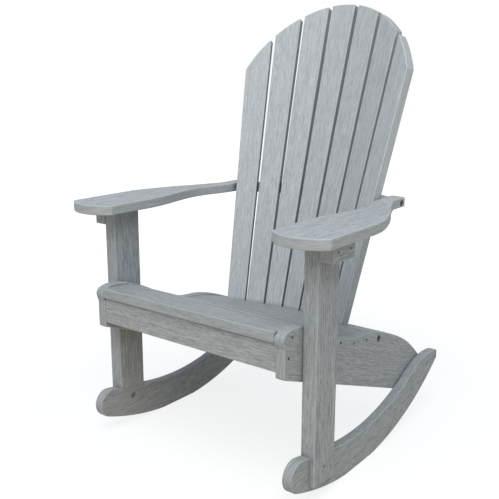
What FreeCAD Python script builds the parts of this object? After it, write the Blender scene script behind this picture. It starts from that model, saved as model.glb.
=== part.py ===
"""Rocking adirondack chair: two runners under a slatted seat, broad arms and a fanned back.

Millimetres. X runs across the chair, the sitter faces -Y and +Z is up. The origin lies on the
floor under the middle of the chair's outline. The chair's own left side is at +X.
"""
import FreeCAD
import Part
import math
import os

V = FreeCAD.Vector

# Lumber
board = 25.4                 # thickness of rockers, rails, seat boards, arms, slats and braces
post = 38.1                  # thickness of the front legs and of the blocks under the arms
edge_round = 3.0             # rounding along the edges of every board
fit_gap = 1.5                # gap between seat boards and round the back slats
slack = 1.0                  # for picking out the edges that lie along a face

# Rockers
seat_width = 549.2           # clear width between the side rails
rocker_radius = 755.0        # radius of the running edge
rocker_depth = 88.9
contact_y = -72.0            # middle of the part that stands on the floor
rest_flat = 132.0            # length of the flat that holds the chair upright at rest
rocker_front = -376.0
rocker_rear = 384.5
nose_radius = 38.0
tail_curve_y = 224.5         # where the upper edge turns over towards the tail
tail_curve_radius = 240.0
tail_round = 8.0

# Front legs
leg_front = -302.0
leg_depth = 86.5
lap_front = 47.0             # height of the lap's lower end, outside the rocker
lap_rear = 41.5

# Side rails
rail_front = -370.0
rail_crest = 431.5           # height of the rail's highest point
rail_front_height = 110.0    # from the crest down to the lower front corner
rail_bottom_slope = 20.8     # degrees, down to the rear
rail_nose_length = 35.0      # from the front face back to the crest
rail_nose_height = 40.0      # from the crest down to where the nose leaves the front face
rail_nose_bulge = 6.0        # the nose stands this far before the front face
rail_corner_round = 6.0
rail_tail_inset = 10.0       # the rail's tail stays this far above the running edge
rail_tail = 334.0            # where the rail's upper edge ends
rail_fall = 277.5            # from the crest down to there
# The upper edge from crest to tail, in shares of its length and of its fall: the hollow of the
# seat comes first, and then the hump behind the slats
rail_steps = ((0, 0), (0.099, 0.045), (0.184, 0.132), (0.275, 0.25), (0.36, 0.33),
              (0.435, 0.364), (0.493, 0.375), (0.574, 0.413), (0.68, 0.499), (0.78, 0.604),
              (0.871, 0.733), (0.943, 0.87), (1, 1))

# Seat
front_board_width = 82.0
seat_board_width = 63.5
slope_rounds = 8             # rounds in which a seat board's slope settles
narrow_boards = 4            # between the front board and the rear board
seat_inset = 3.0             # seat boards lie this far below the rails' upper edge
front_board_drop = 3.9       # the front board's nose lies this far below the crest
front_board_overhang = 3.5   # and this far before the rails' front face
front_board_slope = 4.5      # degrees, down to the rear
rear_board_slope = 6.5
ear_reach = 10.0             # the rear board's ends reach this far behind the slats' front faces
apron_recess = 2.8
apron_height = 69.5

# Back
recline = 16.3               # degrees from upright, of the middle slat
slat_foot_height = 277.0     # height of the middle slat's lower front edge
slat_foot_y = 74.3
slat_foot_width = 53.0
slat_taper = 2.43            # growth of a slat's width, per hundred millimetres of length
slat_count = 7
fan_pitch = 8.3              # degrees between neighbouring slats
fan_axis_distance = 401.0    # from the middle slat's foot forward to the line it fans round
fan_axis_lean = 4.04         # degrees, lean of that line to the rear
crown_radius = 286.0         # rounding of the back's top, seen from the front
crown_height = 1170.0

# Arms
arm_underside = 619.1        # height of the arm's lower face at its front corners
arm_rise = 0.83              # degrees, up to the rear
arm_front_corner = -353.0
arm_front_bulge = 31.5
arm_inner = 250.0
arm_outer = 399.0
# Places along the arm's inner edge, which bows outwards beside the sitter
arm_inner_places = ((247.5, -255), (246.5, -205), (257, -127), (272, -40), (268, 34), (252, 93),
                    (246, 140))
# Places along the outer edge, which runs in towards the tail
arm_outer_places = ((399, -178), (395, -130), (381, -80), (363, -33), (338, 21), (314, 69),
                    (297, 112), (290, 155))
arm_tail_inner = 246.0
arm_tail_width = 44.0
arm_tail_end = 203.5
arm_tail_skew = 10.0         # the outer rear corner lies this far before the inner one
block_height = 41.5
block_width = 37.1

# Braces
upper_brace_width = 40.0
lower_brace_front = 32.5     # where the lower brace's ends begin
lower_brace_top = 317.0      # height of its upper face there
lower_brace_width = 118.0

# Screws and bolts
hole_gap = 0.15              # radial clearance of a drilled hole
screw_radius = 2.4
screw_head_radius = 3.6
screw_head_height = 2.6
screw_sink = 4.0             # depth from the face of the wood to a head's outer face
block_screw_radius = 1.8     # the thin screws in the blocks' outer faces
block_screw_head_radius = 2.6
block_screw_sink = 1.5
bolt_radius = 4.0
bolt_head_radius = 7.0
bolt_head_height = 4.5
bolt_sink = 3.0
brace_bolt_head_radius = 9.0  # the bolts into the two braces have wider, deeper heads
brace_bolt_sink = 4.5
lap_bolt_radius = 2.8        # through the legs' laps and the runners
lap_bolt_head_radius = 3.5
nut_radius = 9.0
seat_screw_length = 60.0
seat_screw_inset = 33.0      # from a seat board's front edge
block_screw_length = 60.0
arm_screw_length = 54.0
slat_foot_screw_length = 44.0
slat_brace_screw_length = 54.0
leg_bolt_length = 48.0
rocker_screw_length = 45.0
brace_bolt_length = 64.0
lower_bolt_run = 31.0        # from the lower brace's front to its bolts
block_screw_drop = 17.6      # below the arm
block_screw_spread = 25.5    # to each side of the leg's middle
arm_screw_spread = 12.0
leg_bolt_heights = (26.0, 72.0)   # above the rail's lower edge
rocker_bolt_height = 82.5
rocker_screw_angles = (24.5, 28.0, 31.5)   # degrees behind the point over the running centre
rocker_screw_inset = 54.0    # above the running edge
slat_screw_spread = 14.0     # to each side of a slat's middle
slat_screw_rise = 6.0        # above the upper brace's middle, clear of the arms' bolts
arm_bolt_drop = 2.0          # below the brace's middle
tail_hole_back = 28.0        # from the tail's inner rear corner forward to its bolt

# Places that follow from the sizes above
rail_inner = seat_width / 2
rail_outer = rail_inner + board
leg_outer = rail_outer + post
block_outer = leg_outer + block_width
leg_rear = leg_front + leg_depth
leg_middle = leg_front + leg_depth / 2
running_centre = V(0, contact_y, math.sqrt(rocker_radius ** 2 - (rest_flat / 2) ** 2))
reach = 4 * rocker_radius    # larger than the chair, for tools that cut right through


def line(a, b):
    return Part.LineSegment(a, b).toShape()


def arc(a, middle, b):
    return Part.Arc(a, middle, b).toShape()


def smooth_between(points, first, last):
    """A smooth curve that starts and ends in the given directions."""
    curve = Part.BSplineCurve()
    curve.interpolate(Points=points, InitialTangent=first, FinalTangent=last)
    return curve.toShape()


def plate(edges, thickness):
    return Part.Face(Part.Wire(Part.__sortEdges__(edges))).extrude(thickness)


def round_all(shape, radius=edge_round):
    """Rounds every edge between two faces that meet at a corner."""
    return shape.makeFillet(radius, shape.Edges)


def round_picked(shape, radius, keep):
    return shape.makeFillet(radius, [e for e in shape.Edges if keep(e)])


def mirrored(shape):
    return shape.mirror(V(0, 0, 0), V(1, 0, 0))


def cylinder(radius, length, base, direction):
    return Part.makeCylinder(radius, length, base, direction)


def turned(shape, base, axis, degrees):
    copy = shape.copy()
    copy.rotate(base, axis, degrees)
    return copy


def rail_contour():
    """The rails' upper edge from crest to tail, which the seat boards follow."""
    y = rail_front + rail_nose_length
    length = rail_tail - y
    return [V(0, y + length * run, rail_crest - rail_fall * drop) for run, drop in rail_steps]


def contour_heights():
    edge = smooth_between(rail_contour(), V(0, 1, 0), V(0, 1, -1))
    return [(p.y, p.z) for p in edge.discretize(Number=2 * int(edge.Length))]


def seat_line(y, heights):
    """Height of the seat at a place along the rails."""
    for (y0, z0), (y1, z1) in zip(heights, heights[1:]):
        if y0 <= y <= y1:
            return z0 + (z1 - z0) * (y - y0) / (y1 - y0) - seat_inset
    return heights[0][1] - seat_inset


def on_running_edge(y):
    """The point of the running edge at a place along the chair, outside the flat."""
    drop = math.sqrt(rocker_radius ** 2 - (y - contact_y) ** 2)
    return V(0, y, running_centre.z - drop)


def halfway(a, b, centre, radius):
    """The middle of an arc between two points."""
    return centre + ((a - centre).normalize() + (b - centre).normalize()).normalize() * radius


def rocker_outline():
    """Running edge with its flat, round nose, straight neck, hollow back and turned-over tail."""
    c = running_centre
    upper = rocker_radius - rocker_depth
    nose_y = rocker_front + nose_radius
    nose_drop = math.sqrt((rocker_radius - nose_radius) ** 2 - (nose_y - contact_y) ** 2)
    nose = V(0, nose_y, c.z - nose_drop)
    below_nose = c + (nose - c).normalize() * rocker_radius
    to_centre = c - nose
    lean = math.atan2(to_centre.z, to_centre.y)
    lean += math.acos((upper + nose_radius) / to_centre.Length)
    across_neck = V(0, math.cos(lean), math.sin(lean))
    nose_top = nose + across_neck * nose_radius
    neck_end = c - across_neck * upper
    turn_drop = math.sqrt(upper ** 2 - (tail_curve_y - contact_y) ** 2)
    turn = V(0, tail_curve_y, c.z - turn_drop)
    crown = c + (turn - c).normalize() * (upper + tail_curve_radius)
    tail_rise = math.sqrt(tail_curve_radius ** 2 - (rocker_rear - crown.y) ** 2)
    tail_top = V(0, rocker_rear, crown.z + tail_rise)
    tail_foot = on_running_edge(rocker_rear)
    flat_front = V(0, contact_y - rest_flat / 2, 0)
    flat_rear = V(0, contact_y + rest_flat / 2, 0)
    return [
        arc(tail_foot, halfway(tail_foot, flat_rear, c, rocker_radius), flat_rear),
        line(flat_rear, flat_front),
        arc(flat_front, halfway(flat_front, below_nose, c, rocker_radius), below_nose),
        arc(below_nose, nose - V(0, nose_radius, 0), nose_top),
        line(nose_top, neck_end),
        arc(neck_end, V(0, contact_y, c.z - upper), turn),
        arc(turn, halfway(turn, tail_top, crown, tail_curve_radius), tail_top),
        line(tail_top, tail_foot),
    ]


def rocker_prism():
    return plate(rocker_outline(), V(board, 0, 0)).translated(V(rail_outer, 0, 0))


def rocker():
    body = rocker_prism()

    def at_tail(edge):
        box = edge.BoundBox
        return box.XLength > board / 2 and box.YMin > rocker_rear - edge_round
    body = round_picked(body, tail_round, at_tail)
    return round_picked(body, edge_round, lambda e: e.BoundBox.XLength < board / 2)


def below_lap():
    """The space under the slanting lower end of the leg's lap."""
    front = V(rail_outer, leg_front, lap_front)
    rear = V(rail_outer, leg_rear, lap_rear)
    slant = (rear - front) * reach
    down = V(0, 0, -reach)
    corners = [front - slant, rear + slant, rear + slant + down, front - slant + down]
    edges = [line(a, b) for a, b in zip(corners, corners[1:] + corners[:1])]
    return plate(edges, V(post, 0, 0))


def above_arm_underside():
    space = Part.makeBox(reach, reach, reach, V(0, -reach / 2, arm_underside))
    return raised(space)


def raised(shape):
    """Turns what is drawn level at the arms' height to the arms' slight rise."""
    return turned(shape, V(0, arm_front_corner, arm_underside), V(1, 0, 0), arm_rise)


def front_leg():
    """A post that stands on the rocker, with a lap down the rocker's outer face."""
    body = Part.makeBox(post, leg_depth, rocker_radius, V(rail_outer, leg_front, 0))
    body = round_picked(body, edge_round, lambda e: e.BoundBox.ZLength > post)
    return body.cut(rocker_prism()).cut(below_lap()).cut(above_arm_underside())


def rail_outline():
    contour = rail_contour()
    crest = contour[0]
    end = contour[-1]
    foot = V(0, rail_front, rail_crest - rail_front_height)
    nose_start = V(0, rail_front, rail_crest - rail_nose_height)
    nose_tip = V(0, rail_front - rail_nose_bulge, rail_crest - rail_nose_height / 2)
    nose = [nose_start, nose_tip, crest]
    c = running_centre
    tail_radius = rocker_radius - rail_tail_inset
    tail = c + (end - c).normalize() * tail_radius
    slope = math.radians(rail_bottom_slope)
    along = V(0, math.cos(slope), -math.sin(slope))
    to_foot = foot - c
    half = to_foot.dot(along)
    far = -half + math.sqrt(half ** 2 - to_foot.Length ** 2 + tail_radius ** 2)
    heel = foot + along * far
    belly = halfway(tail, heel, c, tail_radius)
    return [
        smooth_between(nose, V(0, -1, 2), V(0, 1, 0)),
        smooth_between(contour, V(0, 1, 0), V(0, 1, -1)),
        line(end, tail),
        arc(tail, belly, heel),
        line(heel, foot),
        line(foot, nose_start),
    ]


def side_rail():
    body = plate(rail_outline(), V(board, 0, 0)).translated(V(rail_inner, 0, 0))

    below_nose = rail_crest - rail_nose_height - slack

    def at_foot(edge):
        box = edge.BoundBox
        at_front = box.YMax < rail_front + slack and box.ZMax < below_nose
        return box.XLength > board / 2 and at_front
    return round_all(round_picked(body, rail_corner_round, at_foot))


def cross_board(y, z, slope, width, length):
    """A board across the chair. Its front upper edge is at y and z, and it slopes to the rear."""
    body = Part.makeBox(length, width, board, V(-length / 2, y, z - board))
    body = round_picked(body, edge_round, lambda e: e.BoundBox.XLength > width)
    return turned(body, V(0, y, z), V(1, 0, 0), -slope)


def seat_places():
    """Front edge, height, slope and width of each seat board, from the front."""
    heights = contour_heights()
    y = rail_front - front_board_overhang
    z = rail_crest - front_board_drop
    found = [(y, z, front_board_slope, front_board_width)]
    for _ in range(narrow_boards):
        y = rear_edge(found[-1]) + fit_gap
        turn = board_slope(y, heights) - found[-1][2]
        y += max(0, board * math.sin(math.radians(turn)))
        found.append((y, seat_line(y, heights), board_slope(y, heights), seat_board_width))
    y = rear_edge(found[-1]) + fit_gap
    rear_width = slat_front(0).y - y + board
    found.append((y, seat_line(y, heights), rear_board_slope, rear_width))
    return found


def rear_edge(place):
    """How far back a seat board's upper face reaches."""
    y, z, slope, width = place
    return y + width * math.cos(math.radians(slope))


def board_slope(y, heights):
    """The slope at which a narrow board's rear edge meets the seat line too."""
    slope = 0.0
    for _ in range(slope_rounds):
        rear = y + seat_board_width * math.cos(math.radians(slope))
        drop = seat_line(y, heights) - seat_line(rear, heights)
        slope = math.degrees(math.asin(drop / seat_board_width))
    return slope


def slat_up():
    return V(0, math.sin(math.radians(recline)), math.cos(math.radians(recline)))


def slat_back():
    return V(0, math.cos(math.radians(recline)), -math.sin(math.radians(recline)))


def slat_front(up):
    """A point on the middle slat's front face, so far up its middle line."""
    return V(0, slat_foot_y, slat_foot_height) + slat_up() * up


def fan_line(z):
    """The point of the fan's centre line at a height."""
    lean = math.tan(math.radians(fan_axis_lean))
    return V(0, slat_foot_y - fan_axis_distance + lean * (z - slat_foot_height), z)


def fanned(shape, place):
    """Turns a shape of the middle slat to another slat's place, counted from the middle."""
    base = fan_line(slat_foot_height)
    axis = fan_line(slat_foot_height + 1) - base
    return turned(shape, base, axis, -fan_pitch * place)


def fanned_point(point, place):
    return fanned(Part.Vertex(point), place).Point


def crown_cut(place, side):
    """How far up a slat's edge, or its middle line, the back's round top passes."""
    spread = slat_taper / 200
    foot = slat_front(0) + V(side * slat_foot_width / 2, 0, 0)
    ahead = foot + slat_up() + V(side * spread, 0, 0)
    start = fanned_point(foot, place)
    step = fanned_point(ahead, place) - start
    above = start.z - (crown_height - crown_radius)
    a = step.x ** 2 + step.z ** 2
    b = start.x * step.x + above * step.z
    c = start.x ** 2 + above ** 2 - crown_radius ** 2
    return (-b + math.sqrt(b ** 2 - a * c)) / a


def slat_point(side, up):
    across = slat_foot_width / 2 + slat_taper / 200 * up
    return slat_front(up) + V(side * across, 0, 0)


def back_slat(place):
    corners = {side: slat_point(side, crown_cut(place, side)) for side in (-1, 1)}
    top = slat_front(crown_cut(place, 0))
    edges = [
        line(slat_point(-1, 0), slat_point(1, 0)),
        line(slat_point(1, 0), corners[1]),
        arc(corners[1], top, corners[-1]),
        line(corners[-1], slat_point(-1, 0)),
    ]
    return fanned(round_all(plate(edges, slat_back() * board)), place)


def places():
    half = (slat_count - 1) / 2
    return [i - half for i in range(slat_count)]


def before_slats(depth):
    """The space in front of all the slats, to a depth behind their front faces."""
    corner = V(-reach / 2, depth - reach, -reach / 2)
    block = Part.makeBox(reach, reach, reach, corner)
    block = turned(block, V(0, 0, 0), V(1, 0, 0), -recline).translated(slat_front(0))
    space = block
    for place in places():
        space = space.common(fanned(block, place))
    return space


def slat_pocket(place):
    """The outline of a slat's foot with its clearance, cut far to the rear."""
    half = slat_foot_width / 2 + fit_gap
    block = Part.makeBox(2 * half, reach, 4 * slat_foot_width, V(-half, -fit_gap, 0))
    block = turned(block, V(0, 0, 0), V(1, 0, 0), -recline).translated(slat_front(0))
    return fanned(block, place)


def seat_board(number):
    y, z, slope, width = seat_places()[number]
    return cross_board(y, z, slope, width, seat_width)


def rear_seat_board():
    """The last seat board: cut round the slats, with ears that reach back beside them."""
    outer = places()[-1]
    outer_x = fanned_point(slat_front(0), outer).x
    behind = Part.makeBox(2 * outer_x, reach, reach, V(-outer_x, -reach / 2, -reach / 2))
    behind = behind.cut(before_slats(-fit_gap))
    board_shape = seat_board(-1).common(before_slats(ear_reach))
    return board_shape.cut(behind).cut(slat_pocket(outer)).cut(slat_pocket(-outer))


def front_apron():
    """The board on edge under the front seat board."""
    y, z, slope, width = seat_places()[0]
    front = rail_front + apron_recess
    top = rail_crest
    body = Part.makeBox(seat_width, board, top, V(-seat_width / 2, front, 0))
    corner = V(-reach / 2, y, z - board)
    above = Part.makeBox(reach, reach, reach, corner)
    above = turned(above, V(0, y, z), V(1, 0, 0), -slope)
    bottom = z - board - apron_height
    body = body.cut(Part.makeBox(reach, reach, bottom, V(-reach / 2, -reach / 2, 0)))
    body = body.cut(above)

    def at_bottom(edge):
        box = edge.BoundBox
        return box.XLength > board and box.ZMax < bottom + slack
    return round_picked(body, edge_round, at_bottom)


def lower_brace():
    """The board across the rails that carries the slats' feet."""
    body = Part.makeBox(seat_width, reach, board, V(-seat_width / 2, -reach, -board))
    body.translate(V(0, lower_brace_width, 0))
    body = round_picked(body, edge_round,
                        lambda e: e.BoundBox.XLength > board and e.BoundBox.YMin > 0)
    body = turned(body, V(0, 0, 0), V(1, 0, 0), -recline)
    body.translate(V(0, lower_brace_front, lower_brace_top))
    return body.cut(before_slats(board))


def level_brace_centre():
    """The middle of the upper brace's rounded rear edge, before the arms' rise."""
    return fan_line(arm_underside)


def upper_brace_radius():
    """From the fan's centre line back to the upper brace's rear edge."""
    up = (arm_underside - slat_foot_height) / math.cos(math.radians(recline))
    slat_rear = slat_front(up).y + board / math.cos(math.radians(recline))
    return slat_rear - level_brace_centre().y + upper_brace_width


def upper_brace():
    """The bowed board between the arms' tails, which carries the slats' middles."""
    centre = level_brace_centre()
    disc = cylinder(upper_brace_radius(), board, centre, V(0, 0, 1))
    disc = round_all(disc)
    span = Part.makeBox(2 * arm_tail_inner, reach, board, V(-arm_tail_inner, 0, arm_underside))
    return raised(disc.common(span)).cut(before_slats(board))


def arm_plate():
    z = arm_underside
    front_inner = V(arm_inner, arm_front_corner, z)
    front_outer = V(arm_outer, arm_front_corner, z)
    apex = V((arm_inner + arm_outer) / 2, arm_front_corner - arm_front_bulge, z)
    tail_outer = arm_tail_inner + arm_tail_width
    inner = [front_inner] + [V(x, y, z) for x, y in arm_inner_places]
    outer = [V(x, y, z) for x, y in arm_outer_places]
    bow_end = inner[-1]
    tail_inner_end = V(arm_tail_inner, arm_tail_end, z)
    tail_outer_end = V(tail_outer, arm_tail_end - arm_tail_skew, z)
    edges = [
        arc(front_outer, apex, front_inner),
        smooth_between(inner, V(0, 1, 0), V(0, 1, 0)),
        line(bow_end, tail_inner_end),
        line(tail_inner_end, tail_outer_end),
        line(tail_outer_end, outer[-1]),
        smooth_between(outer, V(0, 1, 0), V(0, 1, 0)),
        line(outer[0], front_outer),
    ]
    return raised(round_all(plate(edges, V(0, 0, board))))


def arm_block():
    """The block outside the leg, under the arm, that widens the leg's top."""
    bottom = arm_underside - block_height
    body = Part.makeBox(block_width, leg_depth, 2 * block_height, V(leg_outer, leg_front, bottom))

    def outside(edge):
        box = edge.BoundBox
        at_bottom = box.ZMax < bottom + slack and box.XLength > slack
        return box.XMax > block_outer - slack or at_bottom
    return round_picked(body, edge_round, outside).cut(above_arm_underside())


def fastener(kind, base, direction, length):
    """A screw or bolt: a shank and a head sunk below the face that its base lies on."""
    radius, head_radius, head_height, sink = kind
    start = base + direction * sink
    head = cylinder(head_radius, head_height, start, direction)
    return head.fuse(cylinder(radius, length - sink, start, direction)).removeSplitter()


def hole(kind, base, direction, length):
    """The stepped hole for a fastener."""
    radius, head_radius, head_height, sink = kind
    start = base - direction * sink
    mouth = cylinder(head_radius + hole_gap, 2 * sink + head_height, start, direction)
    bore = cylinder(radius + hole_gap, length + sink + hole_gap, start, direction)
    return mouth.fuse(bore)


def both_sides(spots):
    """Bases and directions for the left side, repeated on the right side."""
    flipped = [(V(-b.x, b.y, b.z), V(-d.x, d.y, d.z)) for b, d in spots]
    return spots + flipped


def seat_screw_spots():
    """One screw through each rail into the end of each seat board."""
    spots = []
    for y, z, slope, width in seat_places():
        lean = math.radians(slope)
        across = seat_screw_inset * math.cos(lean) - board / 2 * math.sin(lean)
        drop = seat_screw_inset * math.sin(lean) + board / 2 * math.cos(lean)
        spots.append((V(rail_outer, y + across, z - drop), V(-1, 0, 0)))
    return both_sides(spots)


def apron_screw_spots():
    y = rail_front + apron_recess + board / 2
    z = rail_crest - front_board_drop - board - apron_height / 2
    return both_sides([(V(rail_outer, y, z), V(-1, 0, 0))])


def lower_brace_bolt_spots():
    lean = math.radians(recline)
    run = lower_bolt_run
    y = lower_brace_front + run * math.cos(lean) - board / 2 * math.sin(lean)
    z = lower_brace_top - run * math.sin(lean) - board / 2 * math.cos(lean)
    return both_sides([(V(rail_outer, y, z), V(-1, 0, 0))])


def arm_height(y):
    """Height of the arm's lower face."""
    return arm_underside + (y - arm_front_corner) * math.tan(math.radians(arm_rise))


def arm_bolt_spots():
    y = arm_tail_end - tail_hole_back
    z = arm_height(y) + board / 2 - arm_bolt_drop
    return both_sides([(V(arm_tail_inner + arm_tail_width, y, z), V(-1, 0, 0))])


def block_screw_spots():
    z = arm_underside - block_screw_drop
    spots = []
    for offset in (-block_screw_spread, block_screw_spread):
        spots.append((V(block_outer, leg_middle + offset, z), V(-1, 0, 0)))
    return both_sides(spots)


def arm_screw_spots():
    x = leg_outer + block_width / 2
    z = arm_underside - block_height
    spots = []
    for offset in (-arm_screw_spread, arm_screw_spread):
        spots.append((V(x, leg_middle + offset, z), V(0, 0, 1)))
    return both_sides(spots)


def leg_bolt_spots():
    below = (leg_middle - rail_front) * math.tan(math.radians(rail_bottom_slope))
    z = rail_crest - rail_front_height - below
    return both_sides([(V(rail_inner, leg_middle, z + up), V(1, 0, 0)) for up in leg_bolt_heights])


def rocker_bolt_spots():
    return both_sides([(V(leg_outer, leg_middle, rocker_bolt_height), V(-1, 0, 0))])


def rocker_nut(spot):
    """The round nut on a rocker bolt's end, sunk in the rocker's inner face."""
    base, direction = spot
    start = base + direction * (post - bolt_sink)
    nut = cylinder(nut_radius, bolt_head_height, start, -direction)
    return nut.cut(cylinder(lap_bolt_radius, 2 * post, base, direction))


def rocker_nut_seat(spot):
    base, direction = spot
    start = base + direction * (post + bolt_sink)
    depth = 2 * bolt_sink + bolt_head_height
    return cylinder(nut_radius + hole_gap, depth, start, -direction)


def rocker_screw_spots():
    spots = []
    for degrees in rocker_screw_angles:
        angle = math.radians(degrees)
        away = V(0, math.sin(angle), -math.cos(angle))
        spot = running_centre + away * (rocker_radius - rocker_screw_inset)
        spots.append((V(rail_inner, spot.y, spot.z), V(1, 0, 0)))
    return both_sides(spots)


def slat_foot_screw_spots():
    """Two screws through each slat's foot into the lower brace."""
    spots = []
    for place in places():
        middle = fanned_point(slat_front(board / 2), place)
        back = fanned_point(slat_front(board / 2) + slat_back(), place) - middle
        across = fanned_point(slat_front(board / 2) + V(1, 0, 0), place) - middle
        spots.append((middle - across * slat_screw_spread, back))
        spots.append((middle + across * slat_screw_spread, back))
    return spots


def slat_screw_spots():
    """Two screws from the upper brace's rear edge into each slat."""
    radius = upper_brace_radius()
    centre = level_brace_centre() + V(0, 0, board / 2 + slat_screw_rise)
    spread = math.degrees(slat_screw_spread / radius)
    spots = []
    for place in places():
        for side in (-spread, spread):
            angle = math.radians(fan_pitch * place + side)
            away = V(math.sin(angle), math.cos(angle), 0)
            base = raised(Part.Vertex(centre + away * radius)).Point
            inner = raised(Part.Vertex(centre + away * (radius - 1))).Point
            spots.append((base, inner - base))
    return spots


def fasten(node, kind, spots, length, names):
    """Drills the named pieces and adds a node with the fasteners in the holes."""
    holes = [hole(kind, base, direction, length) for base, direction in spots]
    drill(names, holes)
    group = [fastener(kind, base, direction, length) for base, direction in spots]
    pieces[node] = Part.makeCompound(group)


def drill(names, holes):
    for name in names:
        near = [h for h in holes if h.BoundBox.intersect(pieces[name].BoundBox)]
        if near:
            pieces[name] = pieces[name].cut(near)


def add_pair(name, shape):
    pieces[name + "_left"] = shape
    pieces[name + "_right"] = mirrored(shape)


def pair(name):
    return [name + "_left", name + "_right"]


pieces = {}
add_pair("rocker", rocker())
add_pair("front_leg", front_leg())
add_pair("side_rail", side_rail())
add_pair("arm", arm_plate())
add_pair("arm_block", arm_block())
pieces["front_apron"] = front_apron()
pieces["seat_board_front"] = seat_board(0)
for number in range(1, narrow_boards + 1):
    pieces["seat_board_" + str(number + 1)] = seat_board(number)
pieces["seat_board_rear"] = rear_seat_board()
for number, place in enumerate(places()):
    pieces["back_slat_" + str(number + 1)] = back_slat(place)
pieces["lower_back_brace"] = lower_brace()
pieces["upper_back_brace"] = upper_brace()

seat_boards = [name for name in pieces if name.startswith("seat_board")]
slats = [name for name in pieces if name.startswith("back_slat")]
screw = (screw_radius, screw_head_radius, screw_head_height, screw_sink)
bolt = (bolt_radius, bolt_head_radius, bolt_head_height, bolt_sink)
block_screw = (block_screw_radius, block_screw_head_radius, screw_head_height, block_screw_sink)
brace_bolt = (bolt_radius, brace_bolt_head_radius, bolt_head_height, brace_bolt_sink)
lap_bolt = (lap_bolt_radius, lap_bolt_head_radius, screw_head_height, bolt_sink)
rails = pair("side_rail")
legs = pair("front_leg")
rockers = pair("rocker")
arms = pair("arm")
blocks = pair("arm_block")

fasten("seat_screws", screw, seat_screw_spots(), seat_screw_length, rails + seat_boards)
fasten("apron_screws", screw, apron_screw_spots(), seat_screw_length, rails + ["front_apron"])
fasten("lower_brace_bolts", brace_bolt, lower_brace_bolt_spots(), brace_bolt_length,
       rails + ["lower_back_brace"])
fasten("arm_brace_bolts", brace_bolt, arm_bolt_spots(), brace_bolt_length,
       arms + ["upper_back_brace"])
fasten("arm_block_screws", block_screw, block_screw_spots(), block_screw_length, blocks + legs)
fasten("arm_screws", screw, arm_screw_spots(), arm_screw_length, blocks + arms)
fasten("leg_rail_bolts", bolt, leg_bolt_spots(), leg_bolt_length, rails + legs)
fasten("rocker_leg_bolts", lap_bolt, rocker_bolt_spots(), post - bolt_sink, rockers + legs)
drill(rockers, [rocker_nut_seat(spot) for spot in rocker_bolt_spots()])
pieces["rocker_leg_nuts"] = Part.makeCompound([rocker_nut(s) for s in rocker_bolt_spots()])
fasten("rocker_rail_screws", screw, rocker_screw_spots(), rocker_screw_length, rails + rockers)
fasten("slat_foot_screws", screw, slat_foot_screw_spots(), slat_foot_screw_length,
       slats + ["lower_back_brace"])
fasten("slat_brace_screws", screw, slat_screw_spots(), slat_brace_screw_length,
       slats + ["upper_back_brace"])

os.makedirs("parts", exist_ok=True)
for name, shape in pieces.items():
    shape.exportStep("parts/" + name + ".step")
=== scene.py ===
import bmesh
import bpy
import math
import numpy as np
from mathutils import Matrix, Vector


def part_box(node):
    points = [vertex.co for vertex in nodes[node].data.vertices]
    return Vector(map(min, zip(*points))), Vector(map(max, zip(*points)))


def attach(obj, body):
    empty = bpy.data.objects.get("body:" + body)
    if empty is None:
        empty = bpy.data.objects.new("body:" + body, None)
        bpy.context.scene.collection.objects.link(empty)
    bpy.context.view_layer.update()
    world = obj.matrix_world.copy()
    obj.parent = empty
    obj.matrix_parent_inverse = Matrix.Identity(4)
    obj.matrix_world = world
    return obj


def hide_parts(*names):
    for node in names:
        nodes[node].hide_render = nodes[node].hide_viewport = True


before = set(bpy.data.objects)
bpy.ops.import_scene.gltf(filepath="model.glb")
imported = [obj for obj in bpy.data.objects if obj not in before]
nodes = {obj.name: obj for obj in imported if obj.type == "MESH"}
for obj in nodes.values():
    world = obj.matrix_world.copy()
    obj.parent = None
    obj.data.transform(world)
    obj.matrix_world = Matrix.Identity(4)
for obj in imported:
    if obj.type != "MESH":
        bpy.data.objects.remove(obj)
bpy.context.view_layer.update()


# The two curved runners, each sawn from a board of grey polyethylene lumber.
# The lumber is moulded through in one colour and embossed with a weathered wood
# grain, which runs from nose to tail. A router rounds the edges over.
across = Vector((1, 0, 0))


def add(tree, kind, inputs, **settings):
    """Adds a node, sets it up, and links or fills the named inputs."""
    node = tree.nodes.new(kind)
    for name, value in settings.items():
        setattr(node, name, value)
    for name, value in inputs.items():
        if isinstance(value, bpy.types.NodeSocket):
            tree.links.new(value, node.inputs[name])
        else:
            node.inputs[name].default_value = value
    return node


def calculate(tree, operation, *values):
    """The result of one Math node, from its inputs in order."""
    node = add(tree, "ShaderNodeMath", dict(enumerate(values)), operation=operation)
    return node.outputs[0]


def spread(tree, value, low, high):
    """Stretches a noise's middle range to the whole of 0 to 1."""
    node = add(tree, "ShaderNodeMapRange", {"Value": value, "From Min": low, "From Max": high})
    return node.outputs["Result"]


def blend_colors(tree, factor, first, second):
    """Goes from the first colour to the second. Sockets 6, 7 and 2 are the ones for colours."""
    node = add(tree, "ShaderNodeMix", {}, data_type="RGBA")
    for socket, value in ((0, factor), (6, first), (7, second)):
        if isinstance(value, bpy.types.NodeSocket):
            tree.links.new(value, node.inputs[socket])
        else:
            node.inputs[socket].default_value = value
    return node.outputs[2]


def streak_noise(tree, position, along, around, detail):
    """Noise drawn out along the board: features per metre along it and around it."""
    stretched = add(tree, "ShaderNodeVectorMath", {0: position, 1: (along, around, around)},
                    operation="MULTIPLY")
    noise = add(tree, "ShaderNodeTexNoise",
                {"Vector": stretched.outputs[0], "Scale": 1.0, "Detail": detail, "Roughness": 0.6})
    return noise.outputs[0]


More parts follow.
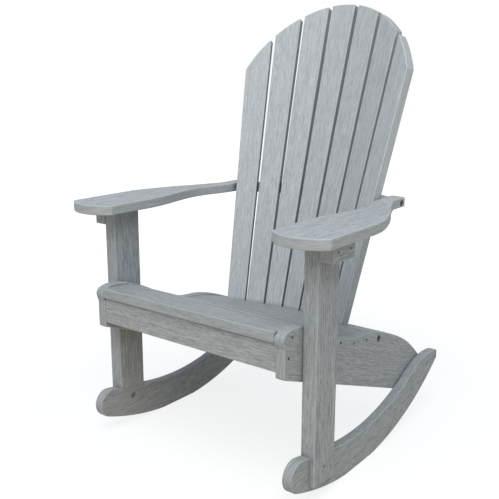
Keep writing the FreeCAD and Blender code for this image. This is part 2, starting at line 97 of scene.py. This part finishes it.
def lines_of_grain(tree, position, on_face):
    """Where the grain's lines run: they wander a little, and on sawn edges follow the cut."""
    edge_squeeze = 0.06
    wander_reach = 0.003
    squeeze = calculate(tree, "MULTIPLY_ADD", on_face, 1 - edge_squeeze, edge_squeeze)
    squeeze = add(tree, "ShaderNodeCombineXYZ", {"X": 1.0, "Y": squeeze, "Z": 1.0}).outputs[0]
    position = add(tree, "ShaderNodeVectorMath", {0: position, 1: squeeze},
                   operation="MULTIPLY").outputs[0]
    wander = streak_noise(tree, position, along=3.0, around=9.0, detail=1.0)
    wander = calculate(tree, "MULTIPLY_ADD", wander, 2 * wander_reach, -wander_reach)
    sideways = add(tree, "ShaderNodeCombineXYZ", {"X": 0.0, "Y": wander, "Z": wander})
    return add(tree, "ShaderNodeVectorMath", {0: position, 1: sideways.outputs[0]},
               operation="ADD").outputs[0]


def year_rings(tree, position, heart_depth):
    """Rings about a heart that lies behind the board's face and slants through it."""
    heart_slant = 0.07
    rings_per_metre = 420.0
    parts = add(tree, "ShaderNodeSeparateXYZ", {"Vector": position}).outputs
    below = calculate(tree, "MULTIPLY_ADD", parts["X"], heart_slant, parts["Z"])
    below = calculate(tree, "ADD", below, heart_depth)
    off_heart = calculate(tree, "SQRT", calculate(tree, "ADD", calculate(tree, "POWER", below, 2.0),
                                                  calculate(tree, "POWER", parts["Y"], 2.0)))
    rings = add(tree, "ShaderNodeTexNoise",
                {"W": off_heart, "Scale": rings_per_metre, "Detail": 3.0, "Roughness": 0.7},
                noise_dimensions="1D").outputs[0]
    return spread(tree, rings, 0.30, 0.70)


# Broad bands, long lines, short streaks and fine fibres, the fibres last. Each row holds
# the features per metre along and around the board, the noise's detail, the low end of
# its middle range, and the layer's share of the grain. The rings have the rest.
streak_layers = ((1.5, 60.0, 2.0, 0.30, 0.05), (8.0, 420.0, 1.0, 0.38, 0.26),
                 (30.0, 390.0, 1.0, 0.38, 0.34), (85.0, 620.0, 1.0, 0.36, 0.30))
ring_share = 0.05
face_start, face_full = 0.45, 0.60
edge_contrast = 0.70
# How strongly the rounded edges are painted paler, partly as wear and partly as a painted
# highlight.
edge_wear_and_highlight = 1.6
# How fast the painted shade in seams and holes deepens, and its near-black colour.
painted_shade_falloff = 1.5
painted_shade_color = (0.045, 0.046, 0.048, 1)
roughness_of_dark, smoothness_of_light = 0.74, 0.18
grain_height, fibre_height = 0.9, 0.35


def weathered_grain():
    """The embossed grain in a board's own frame: X along the board and Z through it."""
    tree = bpy.data.node_groups.new("weathered lumber grain", "ShaderNodeTree")
    for name, kind in (("Position", "Vector"), ("Facing", "Vector"), ("Open", "Float"),
                       ("Light", "Color"), ("Dark", "Color"), ("Heart Depth", "Float"),
                       ("Streaks", "Float"), ("Painted Shade", "Float")):
        tree.interface.new_socket(name, in_out="INPUT", socket_type="NodeSocket" + kind)
    for name, kind in (("Color", "Color"), ("Roughness", "Float"), ("Height", "Float")):
        tree.interface.new_socket(name, in_out="OUTPUT", socket_type="NodeSocket" + kind)
    given = tree.nodes.new("NodeGroupInput").outputs
    shown = tree.nodes.new("NodeGroupOutput").inputs

    facing = add(tree, "ShaderNodeSeparateXYZ", {"Vector": given["Facing"]}).outputs
    on_face = spread(tree, calculate(tree, "ABSOLUTE", facing["Z"]), face_start, face_full)
    position = lines_of_grain(tree, given["Position"], on_face)
    rings = year_rings(tree, position, given["Heart Depth"])
    grain = calculate(tree, "MULTIPLY", rings, ring_share)
    for along, around, detail, low, share in streak_layers:
        layer = spread(tree, streak_noise(tree, position, along, around, detail), low, 1 - low)
        grain = calculate(tree, "MULTIPLY_ADD", layer, share, grain)
    grain = calculate(tree, "SUBTRACT", grain, 0.5)
    contrast = calculate(tree, "MULTIPLY_ADD", on_face, 1 - edge_contrast, edge_contrast)
    contrast = calculate(tree, "MULTIPLY", given["Streaks"], contrast)
    surface = calculate(tree, "MULTIPLY_ADD", grain, contrast, 0.5)
    color = blend_colors(tree, surface, given["Dark"], given["Light"])

    # The rounded edges are painted a little paler: partly wear, partly a painted highlight where
    # they catch the light
    through = calculate(tree, "POWER", facing["Z"], 2.0)
    edge = calculate(tree, "MULTIPLY", through, calculate(tree, "SUBTRACT", 1.0, through))
    edge = calculate(tree, "MULTIPLY", edge, edge_wear_and_highlight)
    color = blend_colors(tree, edge, color, given["Light"])

    # Painted shade darkens the seams and the drilled holes, where the surroundings close in
    shut = calculate(tree, "SUBTRACT", 1.0, given["Open"])
    painted_shade = calculate(tree, "MULTIPLY", calculate(tree, "POWER", shut, painted_shade_falloff), given["Painted Shade"])
    color = blend_colors(tree, painted_shade, color, painted_shade_color)
    tree.links.new(color, shown["Color"])
    roughness = calculate(tree, "MULTIPLY_ADD", surface, -smoothness_of_light, roughness_of_dark)
    tree.links.new(roughness, shown["Roughness"])
    height = calculate(tree, "MULTIPLY", surface, grain_height)
    height = calculate(tree, "MULTIPLY_ADD", layer, fibre_height, height)
    tree.links.new(height, shown["Height"])
    return tree


grain_group = weathered_grain()
lumber_light = (0.520, 0.538, 0.545)
lumber_dark = (0.190, 0.197, 0.199)
lumber_specular = 0.35
emboss_depth, emboss_strength = 0.0006, 0.5
seam_reach = 0.016
stretch_apart, heart_aside = 1.37, 0.013
heart_nearest, heart_step = 0.05, 0.012
heart_choices = 5


def board_turn(along, through):
    """The turn that brings a board's length to X and its thickness to Z."""
    along = along.normalized()
    through = (through - along * through.dot(along)).normalized()
    return Matrix((along, through.cross(along), through))


def coat(name, material):
    """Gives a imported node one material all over."""
    for slot in nodes[name].material_slots:
        slot.material = material


# The last argument sets how dark the painted shade in the board's seams and holes gets.
def dress_board(name, along, through, tone=1.0, streaks=1.0, painted_shade=0.45):
    """Gives one board its own stretch of lumber, with the grain laid along it."""
    low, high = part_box(name)
    number = sorted(nodes).index(name)
    turn = board_turn(along, through)
    aside = heart_aside * (number % heart_choices - heart_choices // 2)
    shift = Vector((stretch_apart * number, aside, 0.0)) - turn @ ((low + high) / 2)
    material = bpy.data.materials.new("lumber_" + name)
    material.use_nodes = True
    tree = material.node_tree
    shader = tree.nodes["Principled BSDF"]
    shader.inputs["Specular IOR Level"].default_value = lumber_specular
    place = tree.nodes.new("ShaderNodeTexCoord")
    laid = add(tree, "ShaderNodeMapping", {"Vector": place.outputs["Object"],
                                           "Rotation": turn.to_euler(), "Location": shift})
    faced = add(tree, "ShaderNodeMapping", {"Vector": place.outputs["Normal"],
                                            "Rotation": turn.to_euler()}, vector_type="VECTOR")
    # Ambient occlusion finds how shut in each point is, for the painted shade in seams and holes.
    openness = add(tree, "ShaderNodeAmbientOcclusion", {"Distance": seam_reach}, samples=16)
    heart_depth = heart_nearest + heart_step * (number * 7 % heart_choices)
    grain = add(tree, "ShaderNodeGroup", {}, node_tree=grain_group)
    for socket, value in (("Position", laid.outputs[0]), ("Facing", faced.outputs[0]),
                          ("Open", openness.outputs["AO"])):
        tree.links.new(value, grain.inputs[socket])
    for socket, value in (("Light", [c * tone for c in lumber_light] + [1]),
                          ("Dark", [c * tone for c in lumber_dark] + [1]),
                          ("Heart Depth", heart_depth), ("Streaks", streaks), ("Painted Shade", painted_shade)):
        grain.inputs[socket].default_value = value
    bump = add(tree, "ShaderNodeBump", {"Strength": emboss_strength, "Distance": emboss_depth,
                                        "Height": grain.outputs["Height"]})
    tree.links.new(grain.outputs["Color"], shader.inputs["Base Color"])
    tree.links.new(grain.outputs["Roughness"], shader.inputs["Roughness"])
    tree.links.new(bump.outputs[0], shader.inputs["Normal"])
    coat(name, material)


runner_rise = math.radians(6)
for side in ("left", "right"):
    dress_board("rocker_" + side, Vector((0, math.cos(runner_rise), math.sin(runner_rise))),
                across, tone=0.97, streaks=0.95)


# The side rails slope down from the seat's nose to the runners' tails. Each is one
# wide board with its grain along its straight lower edge, and the seat's hollow and
# the hump behind the slats are sawn into its upper edge.
rail_slope = math.radians(20.8)
for side in ("left", "right"):
    dress_board("side_rail_" + side,
                Vector((0, math.cos(rail_slope), -math.sin(rail_slope))), across,
                tone=0.97, streaks=0.85, painted_shade=0.9)


# The front legs are thicker posts with upright grain. Each stands on a runner and
# laps down over its outer face, where one bolt holds the two together.
upright = Vector((0, 0, 1))
for side in ("left", "right"):
    dress_board("front_leg_" + side, upright, across, tone=0.97, streaks=1.15, painted_shade=0.6)


# The board on edge between the rails, under the seat's front.
# It keeps the rails apart and stops the front board from sagging.
ahead = Vector((0, -1, 0))
dress_board("front_apron", across, ahead, streaks=0.9)


# The seat is a wide front board, four narrow boards that follow the rails' hollow,
# and a rear board cut round the slats. Each is screwed through the rails' outer faces.
# The first number is the board's slope in degrees, and the second its tone; the lower tones of the
# boards behind the front one are painted shade from the near arm.
seat_boards = {"seat_board_front": (4.5, 0.93), "seat_board_2": (19.0, 0.91),
               "seat_board_3": (25.5, 0.88), "seat_board_4": (21.0, 0.89),
               "seat_board_5": (10.2, 0.87), "seat_board_rear": (6.5, 0.89)}
for name, (slope, tone) in seat_boards.items():
    lean = math.radians(slope)
    dress_board(name, across, Vector((0, math.sin(lean), math.cos(lean))), tone=tone,
                streaks=0.85)


# The seven tapered slats of the back fan out round a line in front of the chair and
# lean back from the seat. The lower brace carries their feet, and the bowed upper
# brace between the arms' tails holds their middles.
slat_recline = math.radians(16.3)
slat_pitch = math.radians(8.3)
fan_lean = math.radians(4.04)
fan_axis = Vector((0, math.sin(fan_lean), math.cos(fan_lean)))
slat_length = Vector((0, math.sin(slat_recline), math.cos(slat_recline)))
slat_depth = Vector((0, -math.cos(slat_recline), math.sin(slat_recline)))
# The slats' tones are partly a paler lumber and partly painted light: highest on slats 1 to 3,
# turned most towards the light, and lowest on slat 6.
slat_tones_and_light = (1.27, 1.24, 1.25, 1.18, 1.15, 1.09, 1.18)
middle_slat = (len(slat_tones_and_light) + 1) / 2
for number, tone in enumerate(slat_tones_and_light, 1):
    fanned = Matrix.Rotation(slat_pitch * (middle_slat - number), 3, fan_axis)
    dress_board("back_slat_%d" % number, fanned @ slat_length, fanned @ slat_depth,
                tone=tone, streaks=0.6, painted_shade=1.0)
dress_board("lower_back_brace", across, slat_length)
dress_board("upper_back_brace", across, upright)


# The arms are broad boards with a bowed front and a narrow tail. A block outside
# each leg's top widens the leg under its arm. The grain runs front to rear in both.
for side in ("left", "right"):
    dress_board("arm_" + side, ahead, upright, tone=1.08, streaks=0.75, painted_shade=0.9)
    dress_board("arm_block_" + side, ahead, across, tone=1.03, streaks=1.15)


# Stainless screws and bolts, sunk in drilled holes and coloured far darker than bare steel, as
# painted shade for the holes. Each has a turned head with a six-lobed recess, a coned neck and a
# shank tapered at the tip.
# The braces' bolts are near black, painted shade for their deeper holes, and the round nuts in the
# runners' inner faces are paler.
def dull_metal(name, dark, light):
    """A metal whose smears of grime and handling change its colour and its shine."""
    smears_per_metre = 420.0
    smoothest, rougher_by = 0.34, 0.3
    material = bpy.data.materials.new(name)
    material.use_nodes = True
    tree = material.node_tree
    shader = tree.nodes["Principled BSDF"]
    shader.inputs["Metallic"].default_value = 1.0
    place = tree.nodes.new("ShaderNodeTexCoord")
    smears = add(tree, "ShaderNodeTexNoise", {"Vector": place.outputs["Object"],
                                              "Scale": smears_per_metre, "Detail": 4.0}).outputs[0]
    color = blend_colors(tree, smears, dark, light)
    tree.links.new(color, shader.inputs["Base Color"])
    rough = calculate(tree, "MULTIPLY_ADD", smears, rougher_by, smoothest)
    tree.links.new(rough, shader.inputs["Roughness"])
    bump = add(tree, "ShaderNodeBump", {"Strength": 0.15, "Distance": 0.0002, "Height": smears})
    tree.links.new(bump.outputs[0], shader.inputs["Normal"])
    return material


# Both steels are far darker than bare steel, painted shade for the holes they sit in; the second is
# near black.
steel = dull_metal("shade_darkened_steel", (0.024, 0.023, 0.022, 1), (0.066, 0.064, 0.061, 1))
painted_shade_steel = dull_metal("painted_shade_steel", (0.004, 0.004, 0.004, 1), (0.018, 0.017, 0.016, 1))
nut_metal = dull_metal("nut_metal", (0.10, 0.085, 0.07, 1), (0.34, 0.30, 0.26, 1))
weld_distance = 1e-5


def touching_vertices(work):
    """The points of each separate fastener in a merged mesh."""
    left = set(work.verts)
    groups = []
    while left:
        group = set()
        waiting = [left.pop()]
        while waiting:
            vert = waiting.pop()
            group.add(vert)
            for edge in vert.link_edges:
                other = edge.other_vert(vert)
                if other in left:
                    left.discard(other)
                    waiting.append(other)
        groups.append(np.array([tuple(vert.co) for vert in group]))
    return groups


def head_spots(name):
    """The middle of each head's outer face, the way it faces, and the fastener's length."""
    rim_depth = 1e-4
    work = bmesh.new()
    work.from_mesh(nodes[name].data)
    bmesh.ops.remove_doubles(work, verts=work.verts, dist=weld_distance)
    spots = []
    for points in touching_vertices(work):
        middle = (points.max(0) + points.min(0)) / 2
        axis = np.linalg.svd(points - points.mean(0))[2][0]
        along = (points - middle) @ axis
        radius = np.linalg.norm(points - middle - np.outer(along, axis), axis=1)
        nearer = along > 0
        if radius[nearer].max() < radius[~nearer].max():
            axis = -axis
            along = -along
        rim = points[along > along.max() - rim_depth]
        spots.append((rim.mean(0), axis, along.max() - along.min()))
    work.free()
    return sorted(spots, key=lambda spot: tuple(spot[0].round(4)))


def drawn_up(tree, mesh, top, height, scale):
    """Draws the top face up, widens or narrows it, and gives the mesh and the new top."""
    offset = add(tree, "ShaderNodeCombineXYZ", {"Z": height}).outputs[0]
    drawn = add(tree, "GeometryNodeExtrudeMesh", {"Mesh": mesh, "Selection": top,
                                                  "Offset": offset, "Individual": False})
    sized = add(tree, "GeometryNodeScaleElements",
                {"Geometry": drawn.outputs["Mesh"], "Selection": drawn.outputs["Top"],
                 "Scale": scale})
    return sized.outputs[0], drawn.outputs["Top"]


def turned_shape(tree, given):
    """One fastener, its head's middle at the origin and its shank down Z."""
    tip_width, cone_length = 0.45, 1.6
    neck_share, rim_share, dome_share = 0.45, 0.35, 0.20
    dome_width, recess_width = 0.84, 0.86
    lobes = 6.0
    tip = calculate(tree, "MULTIPLY", given["Shank Radius"], tip_width)
    disc = add(tree, "GeometryNodeMeshCircle", {"Vertices": 24, "Radius": tip}, fill_type="NGON")
    deep = add(tree, "ShaderNodeCombineXYZ",
               {"Z": calculate(tree, "MULTIPLY", given["Length"], -1.0)}).outputs[0]
    start = add(tree, "GeometryNodeTransform", {"Geometry": disc.outputs[0], "Translation": deep})
    cap = add(tree, "GeometryNodeFlipFaces", {"Mesh": start.outputs[0]}).outputs[0]
    cone = calculate(tree, "MULTIPLY", given["Shank Radius"], cone_length)
    neck = calculate(tree, "MULTIPLY", given["Head Height"], neck_share)
    rim = calculate(tree, "MULTIPLY", given["Head Height"], rim_share)
    dome = calculate(tree, "MULTIPLY", given["Head Height"], dome_share)
    shaped = calculate(tree, "ADD", cone, given["Head Height"])
    straight = calculate(tree, "SUBTRACT", given["Length"], shaped)
    widen = calculate(tree, "DIVIDE", given["Head Radius"], given["Shank Radius"])
    mesh, top = drawn_up(tree, start.outputs[0], True, cone, 1 / tip_width)
    mesh, top = drawn_up(tree, mesh, top, straight, 1.0)
    mesh, top = drawn_up(tree, mesh, top, neck, widen)
    mesh, top = drawn_up(tree, mesh, top, rim, 1.0)
    mesh, top = drawn_up(tree, mesh, top, dome, dome_width)

    # The recess starts as a ring of the dome, takes its lobes, and is pushed in
    dome_radius = calculate(tree, "MULTIPLY", given["Head Radius"], dome_width)
    to_recess = calculate(tree, "DIVIDE", given["Recess Radius"], dome_radius)
    mesh, top = drawn_up(tree, mesh, top, 0.0, to_recess)
    spot = tree.nodes.new("GeometryNodeInputPosition").outputs[0]
    parts = add(tree, "ShaderNodeSeparateXYZ", {"Vector": spot}).outputs
    angle = calculate(tree, "ARCTAN2", parts["Y"], parts["X"])
    wave = calculate(tree, "COSINE", calculate(tree, "MULTIPLY", angle, lobes))
    wave = calculate(tree, "MULTIPLY", wave, given["Lobe Depth"])
    flat = add(tree, "ShaderNodeCombineXYZ", {"X": parts["X"], "Y": parts["Y"]}).outputs[0]
    waved = add(tree, "ShaderNodeVectorMath", {0: flat, "Scale": wave}, operation="SCALE")
    mesh = add(tree, "GeometryNodeSetPosition", {"Geometry": mesh, "Selection": top,
                                                 "Offset": waved.outputs[0]}).outputs[0]
    inward = calculate(tree, "MULTIPLY", given["Recess Depth"], -1.0)
    mesh, top = drawn_up(tree, mesh, top, inward, recess_width)
    whole = add(tree, "GeometryNodeJoinGeometry", {})
    tree.links.new(mesh, whole.inputs[0])
    tree.links.new(cap, whole.inputs[0])
    return add(tree, "GeometryNodeMergeByDistance", {"Geometry": whole.outputs[0],
                                                     "Distance": weld_distance}).outputs[0]


def fastener_tree():
    """Sets a turned fastener on every point, with its head facing the point's Outward."""
    tree = bpy.data.node_groups.new("sunk fasteners", "GeometryNodeTree")
    face = tree.interface
    face.new_socket("Geometry", in_out="INPUT", socket_type="NodeSocketGeometry")
    for name in ("Length", "Shank Radius", "Head Radius", "Head Height", "Recess Radius",
                 "Recess Depth", "Lobe Depth"):
        face.new_socket(name, in_out="INPUT", socket_type="NodeSocketFloat")
    face.new_socket("Material", in_out="INPUT", socket_type="NodeSocketMaterial")
    face.new_socket("Geometry", in_out="OUTPUT", socket_type="NodeSocketGeometry")
    given = tree.nodes.new("NodeGroupInput").outputs
    shown = tree.nodes.new("NodeGroupOutput").inputs
    outward = add(tree, "GeometryNodeInputNamedAttribute", {"Name": "Outward"},
                  data_type="FLOAT_VECTOR").outputs[0]
    faced = add(tree, "FunctionNodeAlignRotationToVector", {"Vector": outward}, axis="Z")
    placed = add(tree, "GeometryNodeInstanceOnPoints",
                 {"Points": given["Geometry"], "Instance": turned_shape(tree, given),
                  "Rotation": faced.outputs[0]}).outputs[0]
    real = add(tree, "GeometryNodeRealizeInstances", {"Geometry": placed}).outputs[0]
    finished = add(tree, "GeometryNodeSetMaterial", {"Geometry": real,
                                                     "Material": given["Material"]}).outputs[0]
    tree.links.new(finished, shown["Geometry"])
    return tree


fasteners = fastener_tree()


def set_fasteners(name, metal, **sizes):
    """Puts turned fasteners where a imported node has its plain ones."""
    spots = head_spots(name)
    mesh = bpy.data.meshes.new(name + "_spots")
    mesh.from_pydata([spot[0] for spot in spots], [], [])
    outward = mesh.attributes.new("Outward", "FLOAT_VECTOR", "POINT")
    for number, spot in enumerate(spots):
        outward.data[number].vector = spot[1]
    piece = bpy.data.objects.new(name + "_turned", mesh)
    bpy.context.scene.collection.objects.link(piece)
    layer = piece.modifiers.new("fasteners", "NODES")
    layer.node_group = fasteners
    sizes["Length"] = min(spot[2] for spot in spots)
    sizes["Material"] = metal
    for socket in fasteners.interface.items_tree:
        if socket.in_out == "INPUT" and socket.name in sizes:
            layer[socket.identifier] = sizes[socket.name]
    bpy.context.view_layer.update()
    graph = bpy.context.evaluated_depsgraph_get()
    made = bpy.data.meshes.new_from_object(piece.evaluated_get(graph))
    piece.modifiers.clear()
    piece.data = made
    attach(piece, "root")
    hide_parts(name)


screw_sizes = {"Shank Radius": 0.0024, "Head Radius": 0.0036, "Head Height": 0.0026,
               "Recess Radius": 0.0019, "Recess Depth": 0.0014, "Lobe Depth": 0.12}
block_screw_sizes = {"Shank Radius": 0.0018, "Head Radius": 0.0026, "Head Height": 0.0026,
                     "Recess Radius": 0.0014, "Recess Depth": 0.001, "Lobe Depth": 0.12}
bolt_sizes = {"Shank Radius": 0.004, "Head Radius": 0.007, "Head Height": 0.0045,
              "Recess Radius": 0.0034, "Recess Depth": 0.0024, "Lobe Depth": 0.06}
brace_bolt_sizes = {**bolt_sizes, "Head Radius": 0.009}
lap_bolt_sizes = {"Shank Radius": 0.0028, "Head Radius": 0.0035, "Head Height": 0.0026,
                  "Recess Radius": 0.0019, "Recess Depth": 0.0014, "Lobe Depth": 0.12}
for name in ("seat_screws", "apron_screws", "arm_screws", "rocker_rail_screws",
             "slat_foot_screws", "slat_brace_screws"):
    set_fasteners(name, steel, **screw_sizes)
set_fasteners("arm_block_screws", steel, **block_screw_sizes)
for name in ("lower_brace_bolts", "arm_brace_bolts"):
    set_fasteners(name, painted_shade_steel, **brace_bolt_sizes)
set_fasteners("leg_rail_bolts", steel, **bolt_sizes)
set_fasteners("rocker_leg_bolts", steel, **lap_bolt_sizes)
coat("rocker_leg_nuts", nut_metal)


# The plain pale floor under the chair. Seen directly it shows white, with the
# chair's soft shadow on it, and it throws a little warm light up under the boards.
def white_where_seen(tree):
    """One where the camera, a reflection or glass sees the surface, and none elsewhere."""
    path = tree.nodes.new("ShaderNodeLightPath").outputs
    seen = calculate(tree, "MAXIMUM", path["Is Camera Ray"], path["Is Glossy Ray"])
    return calculate(tree, "MAXIMUM", seen, path["Is Transmission Ray"])


floor_reach = 9.0
floor_level = -0.0004
warm_gray = (0.62, 0.53, 0.41, 1)
warm_glow, warm_strength = (1.0, 0.86, 0.58, 1), 0.08
shadow_gray = (0.22, 0.22, 0.22, 1)
near_reach, near_white = 0.7, 0.82
far_reach, far_white = 2.2, 1.0
floor_mesh = bpy.data.meshes.new("floor")
floor_mesh.from_pydata([(floor_reach * x, floor_reach * y, floor_level)
                        for x, y in ((-1, -1), (1, -1), (1, 1), (-1, 1))], [], [(0, 1, 2, 3)])
floor = bpy.data.objects.new("floor", floor_mesh)
bpy.context.scene.collection.objects.link(floor)
floor_paint = bpy.data.materials.new("floor_paint")
floor_paint.use_nodes = True
paint = floor_paint.node_tree
paint.nodes.remove(paint.nodes["Principled BSDF"])
lit = add(paint, "ShaderNodeBsdfDiffuse", {"Color": warm_gray})
warmth = add(paint, "ShaderNodeEmission", {"Color": warm_glow, "Strength": warm_strength})
warm = add(paint, "ShaderNodeAddShader", {0: lit.outputs[0], 1: warmth.outputs[0]})
faint = add(paint, "ShaderNodeBsdfDiffuse", {"Color": shadow_gray})
place = paint.nodes.new("ShaderNodeTexCoord")
away = add(paint, "ShaderNodeVectorMath", {0: place.outputs["Object"]}, operation="LENGTH")
away = add(paint, "ShaderNodeMapRange",
           {"Value": away.outputs["Value"], "From Min": near_reach, "From Max": far_reach,
            "To Min": near_white, "To Max": far_white})
glow = add(paint, "ShaderNodeEmission", {"Color": (1, 1, 1, 1), "Strength": away.outputs[0]})
seen = add(paint, "ShaderNodeAddShader", {0: faint.outputs[0], 1: glow.outputs[0]})
either = add(paint, "ShaderNodeMixShader", {0: white_where_seen(paint), 1: warm.outputs[0],
                                            2: seen.outputs[0]})
paint.links.new(either.outputs[0], paint.nodes["Material Output"].inputs["Surface"])
floor_mesh.materials.append(floor_paint)


# The studio: a white room seen behind the chair, an even cool light from it, and
# one large soft lamp high up beside the camera.
cool_white, even_strength = (0.69, 0.84, 1.0, 1), 0.54
room = bpy.data.worlds.new("studio")
bpy.context.scene.world = room
room.use_nodes = True
walls = room.node_tree
walls.nodes.clear()
even = add(walls, "ShaderNodeBackground", {"Color": cool_white, "Strength": even_strength})
white = add(walls, "ShaderNodeBackground", {"Color": (1, 1, 1, 1), "Strength": 1.0})
either = add(walls, "ShaderNodeMixShader", {0: white_where_seen(walls), 1: even.outputs[0],
                                            2: white.outputs[0]})
add(walls, "ShaderNodeOutputWorld", {"Surface": either.outputs[0]})

chair_middle = Vector((0, 0, 0.5))
lamp_direction = Vector((0.30, -0.56, 0.77)).normalized()
lamp_distance = 4
lamp_data = bpy.data.lights.new("soft_lamp", "AREA")
lamp_data.shape = "DISK"
lamp_data.size = 3.4
lamp_data.energy = 124
lamp_data.color = (1.0, 0.985, 0.965)
lamp = bpy.data.objects.new("soft_lamp", lamp_data)
bpy.context.scene.collection.objects.link(lamp)
lamp.location = chair_middle + lamp_direction * lamp_distance
lamp.rotation_euler = lamp_direction.to_track_quat("Z", "Y").to_euler()


# The camera stands where the photograph was taken: above the seat, on the
# sitter's left side of the front.
camera_spot = Vector((1.129348, -1.557091, 0.943412))
view_right = Vector((0.78862, 0.61488, 0.001296))
view_up = Vector((-0.138337, 0.175371, 0.974735))
view_back = Vector((0.599118, -0.768874, 0.223361))
camera_data = bpy.data.cameras.new("camera")
camera_data.sensor_width = 36.0
camera_data.lens = 51.922
camera = bpy.data.objects.new("camera", camera_data)
bpy.context.scene.collection.objects.link(camera)
camera_turn = Matrix((view_right, view_up, view_back)).transposed().to_4x4()
camera.matrix_world = Matrix.Translation(camera_spot) @ camera_turn
bpy.context.scene.camera = camera
bpy.context.scene.view_settings.view_transform = "Standard"
